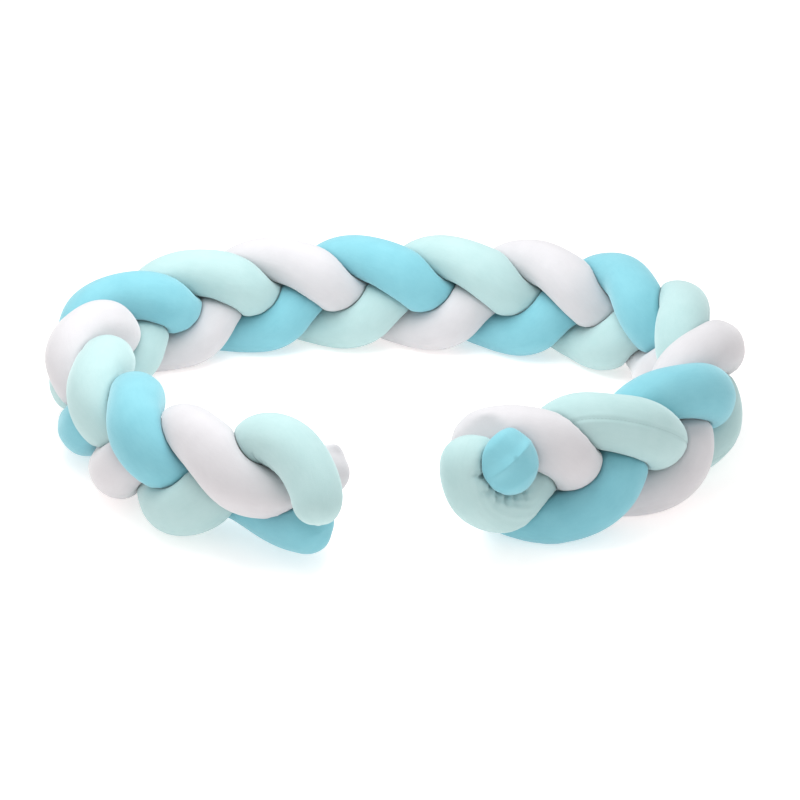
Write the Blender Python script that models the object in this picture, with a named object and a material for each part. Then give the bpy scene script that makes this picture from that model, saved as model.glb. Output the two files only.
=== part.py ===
"""Crib bumper: three filled cloth strands, plaited and bent on edge in an open oval.

Metres, +Z up. The loop rests on z = 0, and the gap between its two ends faces -Y.
A point of the plait is told by how far along the band it lies, how far outside the band's
middle line, and how far above mid height.
"""

import math
from collections import namedtuple

import bpy
import numpy as np

# The even plait
LOBE = 0.126  # along the band, from one strand's upper bulge to the next strand's
RISE = 0.0525  # how far a strand's middle line swings up, and down
WEAVE = 0.018  # how far it swings out, and in
GIRTH_RADIUS = 0.034  # radius of a strand that nothing presses
FIRST_LOBE = 0.039  # from the band's left end to its first upper bulge
SINK = 0.004  # how deep the lowest bulges are pressed flat by the floor
LOOP_CENTRE = (0.0074, -0.0304)  # middle of the finished loop's box, in the plan's own frame

# How neighbours share the room between them
SEAM_GAP = 0.0004  # between the skins of two strands
SOFT_EDGE = 0.008  # width over which a pressed side rounds off into a free one
SWELL = 1.25  # a flattened strand keeps its girth, up to this much of its free radius
SWELL_REACH = 0.05  # along a strand, how far one squeeze is felt
OWN_REACH = 0.16  # along a strand, from where on it counts as its own neighbour

GIRTH_ROUNDS = 5  # passes that fit a strand's free radius to its girth
FAR = 1.0  # more room than a strand ever takes

# Mesh
EVEN_STEP = 0.03  # between the points of the even plait
CURVE_POINTS = 8  # on a curve, from one given point to the next
LINE_STEP = 0.005
RING_STEP = 0.021
RING_SIDES = 16
YIELD_ROUNDS = 6  # passes that draw in corners until the facets between them also keep the gap
CAP_ANGLES = (18.0, 42.0, 66.0)  # rings on a strand's rounded end, in degrees from its pole

# The band's middle line in plan, from its left front end round the back to its right front end
Plan = namedtuple("Plan", "x y")
PLAN = (
    Plan(-0.077, -0.316),
    Plan(-0.260, -0.244),
    Plan(-0.398, -0.023),
    Plan(-0.408, 0.090),
    Plan(-0.343, 0.190),
    Plan(-0.211, 0.270),
    Plan(-0.028, 0.290),
    Plan(0.235, 0.264),
    Plan(0.359, 0.188),
    Plan(0.427, 0.018),
    Plan(0.367, -0.156),
    Plan(0.248, -0.248),
    Plan(0.114, -0.274),
)

# Hand plaiting is a little uneven. At even stations along the band: how far the plait runs
# ahead of an even one, and how much taller it swings
Drift = namedtuple("Drift", "ahead taller")
DRIFT = (
    Drift(0.017, -0.046),
    Drift(0.0245, -0.044),
    Drift(0.0272, -0.022),
    Drift(0.0182, 0.022),
    Drift(0.0049, 0.061),
    Drift(-0.0108, 0.078),
    Drift(-0.022, 0.123),
)

# The hand-laid ends of the strands, outermost point first: beyond the band's end, outward and up
End = namedtuple("End", "beyond outward up")
LEFT_ENDS = {
    "mint": (
        End(0.038, 0.069, -0.002),
        End(0.026, 0.047, 0.036),
        End(-0.010, 0.021, 0.063),
        End(-0.059, -0.003, 0.057),
    ),
    "white": (
        End(0.018, -0.068, 0.018),
        End(-0.003, -0.036, 0.010),
        End(-0.028, 0.006, 0.008),
        End(-0.078, 0.026, 0.020),
    ),
    "turquoise": (
        End(0.033, 0.025, -0.025),
        End(0.003, 0.018, -0.033),
        End(-0.048, -0.003, -0.036),
        End(-0.115, -0.027, -0.026),
    ),
}
RIGHT_ENDS = {
    "mint": (
        End(-0.003, 0.016, 0.073),
        End(0.000, 0.034, 0.038),
        End(-0.007, 0.039, 0.005),
        End(-0.034, 0.029, -0.015),
        End(-0.072, -0.006, -0.011),
        End(-0.106, -0.030, 0.019),
    ),
    "white": (
        End(-0.006, -0.048, -0.002),
        End(-0.018, -0.034, 0.030),
        End(-0.034, -0.014, 0.048),
        End(-0.056, -0.004, 0.055),
        End(-0.082, 0.005, 0.055),
        End(-0.115, 0.006, 0.039),
        End(-0.140, -0.009, -0.002),
    ),
    "turquoise": (
        End(-0.045, 0.080, 0.0715),
        End(-0.034, 0.030, 0.038),
        End(-0.032, -0.008, 0.004),
        End(-0.048, -0.013, -0.036),
        End(-0.100, 0.008, -0.055),
    ),
}
JOIN = 0.035  # between a strand's last own point and the even plait

# How full the strands' ends are stuffed, against the rest: a free end is rounder, a flat one slack
Fullness = namedtuple("Fullness", "left right")
FULLNESS = {
    "mint": Fullness(0.93, 1.0),
    "white": Fullness(1.0, 1.0),
    "turquoise": Fullness(1.0, 1.11),
}
FULL_FROM, FULL_TO = 0.04, 0.10  # from an end, where its own fullness gives way to the even one

# Strands in the order of their upper bulges from the left end, with their soft pile's looks
STRANDS = {
    "mint": {"colour": (0.60, 0.83, 0.82), "roughness": 0.9, "metallic": 0.0},
    "white": {"colour": (0.84, 0.83, 0.85), "roughness": 0.9, "metallic": 0.0},
    "turquoise": {"colour": (0.25, 0.68, 0.80), "roughness": 0.9, "metallic": 0.0},
}


def distances(points):
    """How far along its line each point lies."""
    steps = np.linalg.norm(np.diff(points, axis=0), axis=1)
    return np.concatenate([[0.0], np.cumsum(steps)])


def at_places(points, places):
    """Points of a line at the given distances along it."""
    along = distances(points)
    return np.stack([np.interp(places, along, column) for column in points.T], axis=-1)


def evenly(points, step):
    """The line again, with even steps of about the given size."""
    length = distances(points)[-1]
    return at_places(points, np.linspace(0.0, length, round(length / step) + 1))


def through(points, step):
    """Even points on a smooth curve (centripetal Catmull-Rom) through the given ones."""
    p = np.asarray(points, float)
    p = np.vstack([2 * p[0] - p[1], p, 2 * p[-1] - p[-2]])
    knots = np.concatenate([[0.0], np.cumsum(np.sqrt(np.linalg.norm(np.diff(p, axis=0), axis=1)))])
    first = np.arange(1, len(p) - 2)
    k0, k1, k2, k3 = (knots[first + i][:, None, None] for i in (-1, 0, 1, 2))
    p0, p1, p2, p3 = (p[first + i][:, None] for i in (-1, 0, 1, 2))
    k = k1 + np.linspace(0.0, 1.0, CURVE_POINTS, endpoint=False)[None, :, None] * (k2 - k1)
    a1 = ((k1 - k) * p0 + (k - k0) * p1) / (k1 - k0)
    a2 = ((k2 - k) * p1 + (k - k1) * p2) / (k2 - k1)
    a3 = ((k3 - k) * p2 + (k - k2) * p3) / (k3 - k2)
    b1 = ((k2 - k) * a1 + (k - k0) * a2) / (k2 - k0)
    b2 = ((k3 - k) * a2 + (k - k1) * a3) / (k3 - k1)
    curve = (((k2 - k) * b1 + (k - k1) * b2) / (k2 - k1)).reshape(-1, p.shape[1])
    return evenly(np.vstack([curve, p[-2]]), step)


def averaged(values, along, reach):
    """Values smoothed along a line, each with what lies within reach of it."""
    weights = np.exp(-(((along[:, None] - along[None]) / (0.5 * reach)) ** 2))
    return (weights @ values) / weights.sum(axis=1).reshape((-1,) + (1,) * (values.ndim - 1))


def unit(vectors):
    return vectors / np.linalg.norm(vectors, axis=-1, keepdims=True)


class Band:
    """The middle line that the whole plait follows, standing on edge."""

    def __init__(self):
        self.line = through(PLAN, LINE_STEP)
        self.along = distances(self.line)
        self.length = self.along[-1]
        self.ahead = unit(averaged(np.gradient(self.line, axis=0), self.along, 2 * GIRTH_RADIUS))

    def drift(self, column, along):
        """A column of DRIFT at the given distances."""
        values = [getattr(row, column) for row in DRIFT]
        return np.interp(along, np.linspace(0.0, self.length, len(values)), values)

    def place(self, rows):
        """World points of rows of along, outward and up."""
        along, outward, up = np.asarray(rows).T
        inside = np.clip(along, 0.0, self.length)
        middle = np.stack([np.interp(inside, self.along, c) for c in self.line.T], axis=-1)
        ahead = unit(np.stack([np.interp(inside, self.along, c) for c in self.ahead.T], axis=-1))
        sideways = np.stack([-ahead[:, 1], ahead[:, 0]], axis=-1)
        flat = middle + ahead * (along - inside)[:, None] + sideways * outward[:, None]
        mid_height = RISE + GIRTH_RADIUS - SINK
        return np.column_stack([flat - LOOP_CENTRE, mid_height + up])

    def even_plait(self, order, start, stop):
        """Rows of along, outward and up of one strand between two places on the band."""
        along = np.linspace(start, stop, round((stop - start) / EVEN_STEP) + 1)
        lobes = (along + self.drift("ahead", along) - FIRST_LOBE) / LOBE - order
        turn = 2 * math.pi * lobes / len(STRANDS) + math.pi / 2
        rise = RISE * (1 + self.drift("taller", along))
        return np.column_stack([along, WEAVE * np.sin(2 * turn), rise * (1 + np.sin(turn)) - RISE])

    def strand_line(self, name):
        """A strand's middle line from its left to its right end."""
        left = np.array(LEFT_ENDS[name]) * (-1, 1, 1)
        right = np.array(RIGHT_ENDS[name])[::-1] + (self.length, 0, 0)
        even = self.even_plait(list(STRANDS).index(name), left[-1, 0] + JOIN, right[0, 0] - JOIN)
        rows = through(np.vstack([left, even, right]), LINE_STEP)
        return evenly(self.place(rows), LINE_STEP)


def free_radii(name, places, length):
    """Radius of a strand at its rings where nothing presses it."""
    shares = [np.clip((d - FULL_FROM) / (FULL_TO - FULL_FROM), 0.0, 1.0) for d in (places, length - places)]
    eased = [1 - share * share * (3 - 2 * share) for share in shares]
    own = FULLNESS[name]
    return GIRTH_RADIUS * (1 + (own.left - 1) * eased[0] + (own.right - 1) * eased[1])


def ring_places(length):
    """Distances of the rings along a strand, close together on its rounded ends."""
    cap = [GIRTH_RADIUS * (1 - math.cos(math.radians(a))) for a in CAP_ANGLES]
    body = np.linspace(GIRTH_RADIUS, length - GIRTH_RADIUS, round(length / RING_STEP))
    return np.concatenate([cap, body, length - np.array(cap[::-1])])


def ring_directions(line, places):
    """Unit vectors from each ring's middle to its corners, with the least twist along the strand."""
    along = distances(line)
    ahead = averaged(np.gradient(line, axis=0), along, 2 * GIRTH_RADIUS)
    ahead = unit(np.stack([np.interp(places, along, c) for c in ahead.T], axis=-1))
    across = np.empty_like(ahead)
    last = np.eye(3)[np.argmin(np.abs(ahead[0]))]
    for i, forward in enumerate(ahead):
        last = unit(last - forward * (last @ forward))
        across[i] = last
    angles = 2 * math.pi * np.arange(RING_SIDES) / RING_SIDES
    beside = np.cross(ahead, across)
    up, side = np.cos(angles)[None, :, None], np.sin(angles)[None, :, None]
    return up * across[:, None] + side * beside[:, None]


def room_beside(middles, directions, others):
    """How far each corner can go before it is nearer to another strand's middle line."""
    room = np.full(directions.shape[:2], FAR)
    for points, counted in others:
        apart = points[None] - middles[:, None]
        square = (apart**2).sum(axis=2)
        facing = directions @ apart.transpose(0, 2, 1)
        reach = (square - SEAM_GAP * np.sqrt(square))[:, None]
        near = np.divide(reach, 2 * facing, out=np.full_like(facing, FAR), where=facing > 0.5 * reach / FAR)
        near[np.broadcast_to(~counted[:, None], near.shape)] = FAR
        room = np.minimum(room, near.min(axis=2))
    return room


def soft_least(a, b, width):
    """The smaller of two sizes, with a rounded change from one to the other."""
    share = np.clip(0.5 + 0.5 * (b - a) / width, 0.0, 1.0)
    return b * (1 - share) + a * share - width * share * (1 - share)


def girth(radii):
    """Length round each ring of corner radii."""
    turn = 2 * math.pi / radii.shape[1]
    after = np.roll(radii, -1, axis=1)
    return np.sqrt(radii**2 + after**2 - 2 * radii * after * math.cos(turn)).sum(axis=1)


def nearest(points, line):
    """Distance from each point to the nearest point of a line."""
    flat = points.reshape(-1, 3)
    square = (flat**2).sum(axis=1)[:, None] + (line**2).sum(axis=1)[None] - 2 * flat @ line.T
    return np.sqrt(np.maximum(square.min(axis=1), 0.0)).reshape(points.shape[:-1])


def trespass(points, name, lines):
    """How far points of a strand's skin reach past the middle between it and its neighbours."""
    own = nearest(points, lines[name])
    others = [nearest(points, line) for other, line in lines.items() if other != name]
    return 0.5 * (own - np.minimum.reduce(others) + SEAM_GAP)


def facet_middles(rings):
    """Middles of the edges and of both diagonals of the facets that follow each ring's corners.

    Each comes with the steps, in rings and in corners, to the two corners that it lies between.
    """
    for start, end in (((0, 0), (1, 0)), ((0, 0), (0, 1)), ((0, 0), (1, 1)), ((0, 1), (1, 0))):
        whole = len(rings) - max(start[0], end[0])
        first = np.roll(rings, -start[1], axis=1)[start[0] : start[0] + whole]
        second = np.roll(rings, -end[1], axis=1)[end[0] : end[0] + whole]
        yield 0.5 * (first + second), (start, end)


def slopes_down(rings, name, lines):
    """For each facet, whether the diagonal from its first corner keeps further from neighbours."""
    middles = [points for points, _ in facet_middles(rings)]
    return trespass(middles[2], name, lines) < trespass(middles[3], name, lines)


def drawn_in(rings, middles, name, lines):
    """Rings whose corners give way where a facet's edge would press into a neighbour."""
    for _ in range(YIELD_ROUNDS):
        kept = slopes_down(rings, name, lines)
        pull = np.zeros(rings.shape[:2])
        for kind, (points, ends) in enumerate(facet_middles(rings)):
            excess = np.maximum(trespass(points, name, lines), 0.0)
            if kind > 1:
                excess *= kept if kind == 2 else ~kept
            for ring_step, corner_step in ends:
                felt = np.zeros_like(pull)
                felt[ring_step : ring_step + len(excess)] = excess
                pull = np.maximum(pull, np.roll(felt, corner_step, axis=1))
        inward = unit(middles[:, None] - rings)
        rings = rings + inward * pull[..., None]
    return rings


def strand_rings(name, lines):
    """Corner points of a strand's rings, pressed by its neighbours and by the floor."""
    line = lines[name]
    along = distances(line)
    places = ring_places(along[-1])
    middles = at_places(line, places)
    directions = ring_directions(line, places)
    others = []
    for other, points in lines.items():
        counted = np.ones((len(places), len(points)), bool)
        if other == name:
            counted = np.abs(along[None] - places[:, None]) > OWN_REACH
        others.append((points, counted))
    room = room_beside(middles, directions, others)
    even = free_radii(name, places, along[-1])
    free = even.copy()
    for _ in range(GIRTH_ROUNDS):
        radii = soft_least(room, free[:, None], SOFT_EDGE)
        free = np.clip(free * 2 * math.pi * even / girth(radii), even, SWELL * even)
    free = averaged(free, places, SWELL_REACH)
    to_end = np.minimum(places, along[-1] - places) / even
    free *= np.sqrt(1 - (1 - np.minimum(to_end, 1.0)) ** 2)
    radii = soft_least(room, free[:, None], np.minimum(SOFT_EDGE, 0.5 * free)[:, None])
    down = np.maximum(-directions[..., 2], middles[:, 2:] / FAR)
    radii = np.minimum(radii, middles[:, 2:] / down)
    return drawn_in(middles[:, None] + radii[..., None] * directions, middles, name, lines)


def strand_mesh(name, rings, poles, slopes):
    """A closed loft over the rings, with a pole at each end."""
    count, sides = rings.shape[:2]
    points = [*rings.reshape(-1, 3), *poles]
    first, last = count * sides, count * sides + 1
    faces = []
    for side in range(sides):
        after = (side + 1) % sides
        top = (count - 1) * sides
        faces.append((first, after, side))
        faces.append((last, top + side, top + after))
        for ring in range(count - 1):
            low, high = ring * sides, (ring + 1) * sides
            corners = [low + side, low + after, high + after, high + side]
            if not slopes[ring, side]:
                corners = corners[1:] + corners[:1]
            faces.append((corners[0], corners[1], corners[2]))
            faces.append((corners[0], corners[2], corners[3]))
    mesh = bpy.data.meshes.new(name)
    mesh.from_pydata([tuple(p) for p in points], [], faces)
    mesh.shade_smooth()
    return mesh


def pile_material(name, looks):
    """Soft pile cloth in one colour."""
    material = bpy.data.materials.new(name)
    material.use_nodes = True
    shader = material.node_tree.nodes["Principled BSDF"]
    shader.inputs["Base Color"].default_value = (*looks["colour"], 1.0)
    shader.inputs["Roughness"].default_value = looks["roughness"]
    shader.inputs["Metallic"].default_value = looks["metallic"]
    return material


def main():
    for obj in list(bpy.data.objects):
        bpy.data.objects.remove(obj, do_unlink=True)
    parts = bpy.data.collections.new("crib_bumper")
    bpy.context.scene.collection.children.link(parts)
    band = Band()
    lines = {name: band.strand_line(name) for name in STRANDS}
    for name, looks in STRANDS.items():
        rings = strand_rings(name, lines)
        slopes = slopes_down(rings, name, lines)
        mesh = strand_mesh(f"strand_{name}", rings, (lines[name][0], lines[name][-1]), slopes)
        mesh.materials.append(pile_material(f"{name}_pile", looks))
        parts.objects.link(bpy.data.objects.new(f"strand_{name}", mesh))


main()
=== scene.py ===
"""Crib bumper: three filled strands of short-pile cloth, plaited in an open oval, on a pale floor.

The strands follow the same even plait, drift and hand-laid ends as the frame's solids, with
finer rings, so that each cover can carry its seams, ripples and notches.
"""

from __future__ import annotations

import logging
import math
from dataclasses import dataclass, field
from enum import Enum
from typing import Any, Iterable

import bpy
import numpy as np
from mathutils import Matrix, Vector


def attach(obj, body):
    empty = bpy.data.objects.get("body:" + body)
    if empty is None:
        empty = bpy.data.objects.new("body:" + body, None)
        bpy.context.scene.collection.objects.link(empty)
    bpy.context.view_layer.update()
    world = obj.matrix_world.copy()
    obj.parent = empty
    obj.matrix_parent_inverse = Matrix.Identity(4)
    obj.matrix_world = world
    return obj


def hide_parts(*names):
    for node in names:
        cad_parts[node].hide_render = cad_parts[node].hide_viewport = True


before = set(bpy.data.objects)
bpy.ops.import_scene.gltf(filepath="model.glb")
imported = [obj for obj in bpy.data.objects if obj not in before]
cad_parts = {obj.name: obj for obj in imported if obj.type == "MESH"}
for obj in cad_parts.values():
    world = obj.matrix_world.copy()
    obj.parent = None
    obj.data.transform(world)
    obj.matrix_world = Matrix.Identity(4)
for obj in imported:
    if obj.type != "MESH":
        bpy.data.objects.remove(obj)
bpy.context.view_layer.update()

LOG = logging.getLogger("crib_bumper")
Array = np.ndarray


class Hue(Enum):
    """The strands, in the order of their upper bulges from the loop's left front end."""

    MINT = "mint"
    WHITE = "white"
    TURQUOISE = "turquoise"


@dataclass(frozen=True)
class Spot:
    """A point of the band's middle line in plan."""

    x: float
    y: float


@dataclass(frozen=True)
class Drift:
    """How a hand-made plait leaves an even one: how far it runs ahead, how much taller it is."""

    ahead: float
    taller: float


@dataclass(frozen=True)
class Laid:
    """A point of a strand's hand-laid end."""

    beyond: float
    outward: float
    up: float


@dataclass(frozen=True)
class Fullness:
    """How full a strand's ends are stuffed, against the rest."""

    left: float
    right: float


@dataclass(frozen=True)
class PlaitSizes:
    """Sizes of the plait, in metres.

    Attributes:
        lobe: From one upper bulge to the next, along the band.
        rise: How far a strand's middle swings up and down.
        weave: How far it swings in and out.
        radius: Of a strand that nothing presses.
        first_lobe: Where on the band the first upper bulge is.
        sink: How far a strand would reach into the floor, which presses it flat.
        centre: The plan's point that becomes the origin.
        seam_gap: Between neighbours.
        soft_edge: Over how much a pressed face rounds into a free one.
        swell: How many times its free radius a pressed ring may get.
        swell_reach: Over how much of the strand that is evened out.
        own_reach: Along a strand, past which it counts as its own neighbour.
        join: From an end's last laid point to the even plait.
        even_step: From one point of the even plait to the next.
        line_step: From one point of a middle line to the next.
        full_from: From an end, up to where its own fullness holds.
        full_to: From an end, where that has faded out.
        cloth_width: Round a strand, on the map that follows its cloth.
    """

    lobe: float = 0.126
    rise: float = 0.0525
    weave: float = 0.018
    radius: float = 0.034
    first_lobe: float = 0.039
    sink: float = 0.004
    centre: tuple[float, float] = (0.0074, -0.0304)
    seam_gap: float = 0.0006
    soft_edge: float = 0.005
    swell: float = 1.25
    swell_reach: float = 0.05
    own_reach: float = 0.16
    join: float = 0.035
    even_step: float = 0.03
    line_step: float = 0.005
    full_from: float = 0.04
    full_to: float = 0.10
    cloth_width: float = 0.215


SIZES = PlaitSizes()

PLAN = (
    Spot(-0.077, -0.316),
    Spot(-0.260, -0.244),
    Spot(-0.398, -0.023),
    Spot(-0.408, 0.090),
    Spot(-0.343, 0.190),
    Spot(-0.211, 0.270),
    Spot(-0.028, 0.290),
    Spot(0.235, 0.264),
    Spot(0.359, 0.188),
    Spot(0.427, 0.018),
    Spot(0.367, -0.156),
    Spot(0.248, -0.248),
    Spot(0.114, -0.274),
)

DRIFTS = (
    Drift(0.017, -0.046),
    Drift(0.0245, -0.044),
    Drift(0.0272, -0.022),
    Drift(0.0182, 0.022),
    Drift(0.0049, 0.061),
    Drift(-0.0108, 0.078),
    Drift(-0.022, 0.123),
)

LEFT_ENDS = {
    Hue.MINT: (
        Laid(0.038, 0.069, -0.002),
        Laid(0.026, 0.047, 0.036),
        Laid(-0.010, 0.021, 0.063),
        Laid(-0.059, -0.003, 0.057),
    ),
    Hue.WHITE: (
        Laid(0.018, -0.068, 0.018),
        Laid(-0.003, -0.036, 0.010),
        Laid(-0.028, 0.006, 0.008),
        Laid(-0.078, 0.026, 0.020),
    ),
    Hue.TURQUOISE: (
        Laid(0.033, 0.025, -0.025),
        Laid(0.003, 0.018, -0.033),
        Laid(-0.048, -0.003, -0.036),
        Laid(-0.115, -0.027, -0.026),
    ),
}

RIGHT_ENDS = {
    Hue.MINT: (
        Laid(-0.003, 0.016, 0.073),
        Laid(0.000, 0.034, 0.038),
        Laid(-0.007, 0.039, 0.005),
        Laid(-0.034, 0.029, -0.015),
        Laid(-0.072, -0.006, -0.011),
        Laid(-0.106, -0.030, 0.019),
    ),
    Hue.WHITE: (
        Laid(-0.006, -0.048, -0.002),
        Laid(-0.018, -0.034, 0.030),
        Laid(-0.034, -0.014, 0.048),
        Laid(-0.056, -0.004, 0.055),
        Laid(-0.082, 0.005, 0.055),
        Laid(-0.115, 0.006, 0.039),
        Laid(-0.140, -0.009, -0.002),
    ),
    Hue.TURQUOISE: (
        Laid(-0.045, 0.080, 0.0715),
        Laid(-0.034, 0.030, 0.038),
        Laid(-0.032, -0.008, 0.004),
        Laid(-0.048, -0.013, -0.036),
        Laid(-0.100, 0.008, -0.055),
    ),
}


@dataclass(frozen=True)
class EndSeam:
    """The seam that closes a strand's end.

    Attributes:
        turn: Where it crosses the end, in degrees round the tube.
        fold: How far the end falls away beside it, in metres.
        corner: How far its two corners stand out.
    """

    turn: float
    fold: float
    corner: float


@dataclass(frozen=True)
class Seams:
    """The seams of one cover. The lengthwise one twists a little with the strand.

    Attributes:
        start: Of the lengthwise seam at the strand's left end, in degrees round the tube.
        stop: Of the same at its right end.
        turns_from: Distance along the strand from which it changes over.
        turns_to: Distance up to which it does.
        left_end: The seam across the left end.
        right_end: The seam across the right end.
    """

    start: float
    stop: float
    turns_from: float
    turns_to: float
    left_end: EndSeam
    right_end: EndSeam


SEAMS = {
    Hue.MINT: Seams(112.5, 232.5, 1.9, 2.4, EndSeam(0.0, 0.0008, 0.0), EndSeam(120.0, 0.0008, 0.0)),
    Hue.WHITE: Seams(172.5, 172.5, 1.0, 2.0, EndSeam(350.0, 0.0020, 0.0045), EndSeam(60.0, 0.0008, 0.0)),
    Hue.TURQUOISE: Seams(142.5, 142.5, 1.0, 2.0, EndSeam(90.0, 0.0008, 0.0), EndSeam(2.0, 0.0046, 0.0)),
}


@dataclass(frozen=True)
class Bunch:
    """A stretch of a strand where its cloth gathers in notches against a neighbour.

    Attributes:
        start: Distance along the strand where it begins.
        stop: Where it ends.
        step: From one notch to the next.
        turn: On which side of the tube, in degrees round it.
        rippled: How strongly the cloth beside it ripples, from 0 to 1.
        reach: How far from the neighbour its notches run out.
    """

    start: float
    stop: float
    step: float
    turn: float
    rippled: float
    reach: float


BUNCHES = {
    Hue.MINT: (
        Bunch(0.075, 0.150, 0.0125, 183.0, 0.0, 0.010),
        Bunch(2.670, 2.780, 0.0155, 172.0, 1.0, 0.009),
    ),
    Hue.WHITE: (),
    Hue.TURQUOISE: (),
}

FULLNESS = {
    Hue.MINT: Fullness(0.93, 1.0),
    Hue.WHITE: Fullness(1.0, 1.0),
    Hue.TURQUOISE: Fullness(1.0, 1.11),
}


def rows(table: Iterable[Any]) -> Array:
    """The values of a table of dataclass rows.

    Args:
        table: Rows of one dataclass.

    Returns:
        One line of numbers a row, in the order of the fields.
    """
    return np.array([[getattr(row, name) for name in row.__dataclass_fields__] for row in table])


def distances(points: Array) -> Array:
    """How far along its line each point lies.

    Args:
        points: Points of a line.

    Returns:
        Distances from the first point.
    """
    steps = np.linalg.norm(np.diff(points, axis=0), axis=1)
    return np.concatenate([[0.0], np.cumsum(steps)])


def looked_up(wanted: Array, along: Array, table: Array) -> Array:
    """Rows of a table that is given at some places, read between them.

    Args:
        wanted: Places to read at.
        along: Places of the table's rows.
        table: The rows.

    Returns:
        One row for each wanted place.
    """
    return np.stack([np.interp(wanted, along, column) for column in table.T], axis=-1)


def at_places(points: Array, places: Array) -> Array:
    """Points of a line at the given distances along it.

    Args:
        points: Points of the line.
        places: Distances from its start.

    Returns:
        One point for each distance.
    """
    return looked_up(places, distances(points), points)


def evenly(points: Array, step: float) -> Array:
    """The line again, with even steps of about the given size.

    Args:
        points: Points of the line.
        step: About the wanted spacing.

    Returns:
        Evenly spaced points.
    """
    length = distances(points)[-1]
    return at_places(points, np.linspace(0.0, length, round(length / step) + 1))


def through(points: Array, step: float, fine: int = 8) -> Array:
    """Even points on a smooth curve (centripetal Catmull-Rom) through the given ones.

    Args:
        points: Points that the curve passes.
        step: About the wanted spacing.
        fine: Curve points worked out from one given point to the next.

    Returns:
        Evenly spaced points of the curve.
    """
    p = np.asarray(points, float)
    p = np.vstack([2 * p[0] - p[1], p, 2 * p[-1] - p[-2]])
    knots = np.concatenate([[0.0], np.cumsum(np.sqrt(np.linalg.norm(np.diff(p, axis=0), axis=1)))])
    first = np.arange(1, len(p) - 2)
    k0, k1, k2, k3 = (knots[first + i][:, None, None] for i in (-1, 0, 1, 2))
    p0, p1, p2, p3 = (p[first + i][:, None] for i in (-1, 0, 1, 2))
    k = k1 + np.linspace(0.0, 1.0, fine, endpoint=False)[None, :, None] * (k2 - k1)
    a1 = ((k1 - k) * p0 + (k - k0) * p1) / (k1 - k0)
    a2 = ((k2 - k) * p1 + (k - k1) * p2) / (k2 - k1)
    a3 = ((k3 - k) * p2 + (k - k2) * p3) / (k3 - k2)
    b1 = ((k2 - k) * a1 + (k - k0) * a2) / (k2 - k0)
    b2 = ((k3 - k) * a2 + (k - k1) * a3) / (k3 - k1)
    curve = (((k2 - k) * b1 + (k - k1) * b2) / (k2 - k1)).reshape(-1, p.shape[1])
    return evenly(np.vstack([curve, p[-2]]), step)


def averaged(values: Array, along: Array, reach: float) -> Array:
    """Values smoothed along a line, each with what lies within reach of it.

    Args:
        values: One row for each place.
        along: The places.
        reach: How far a value is felt.

    Returns:
        The smoothed values.
    """
    weights = np.exp(-(((along[:, None] - along[None]) / (0.5 * reach)) ** 2))
    flat = values.reshape(len(values), -1)
    mixed = (weights @ flat) / weights.sum(axis=1)[:, None]
    return mixed.reshape(values.shape)


def unit(vectors: Array) -> Array:
    """Vectors made one long."""
    return vectors / np.maximum(np.linalg.norm(vectors, axis=-1, keepdims=True), 1e-12)


def eased(values: Array, low: float, high: float) -> Array:
    """A smooth step from 0 at the low value to 1 at the high one.

    Args:
        values: What is compared.
        low: Value of the step's start.
        high: Value of its end.

    Returns:
        Shares from 0 to 1.
    """
    share = np.clip((values - low) / (high - low), 0.0, 1.0)
    return share * share * (3 - 2 * share)


class Grain:
    """Smooth random waves in two directions, the same at each run.

    Reads that must not look alike are taken some tens of waves apart.
    """

    def __init__(self, seed: int, size: int = 256) -> None:
        """Fills the lattice that the waves are read from.

        Args:
            seed: Which waves.
            size: After how many of them they repeat.
        """
        self.size = size
        self.lattice = np.random.default_rng(seed).uniform(-1.0, 1.0, (size, size))

    def at(self, u: Array, v: Array) -> Array:
        """The waves at places given in wave lengths.

        Args:
            u: First coordinate.
            v: Second coordinate.

        Returns:
            Values from about -1 to 1.
        """
        u0, v0 = np.floor(u).astype(int), np.floor(v).astype(int)
        fu, fv = u - u0, v - v0
        fu, fv = fu * fu * (3 - 2 * fu), fv * fv * (3 - 2 * fv)
        n = self.size
        a, b = self.lattice[u0 % n, v0 % n], self.lattice[(u0 + 1) % n, v0 % n]
        c, d = self.lattice[u0 % n, (v0 + 1) % n], self.lattice[(u0 + 1) % n, (v0 + 1) % n]
        return (a * (1 - fu) + b * fu) * (1 - fv) + (c * (1 - fu) + d * fu) * fv


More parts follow.
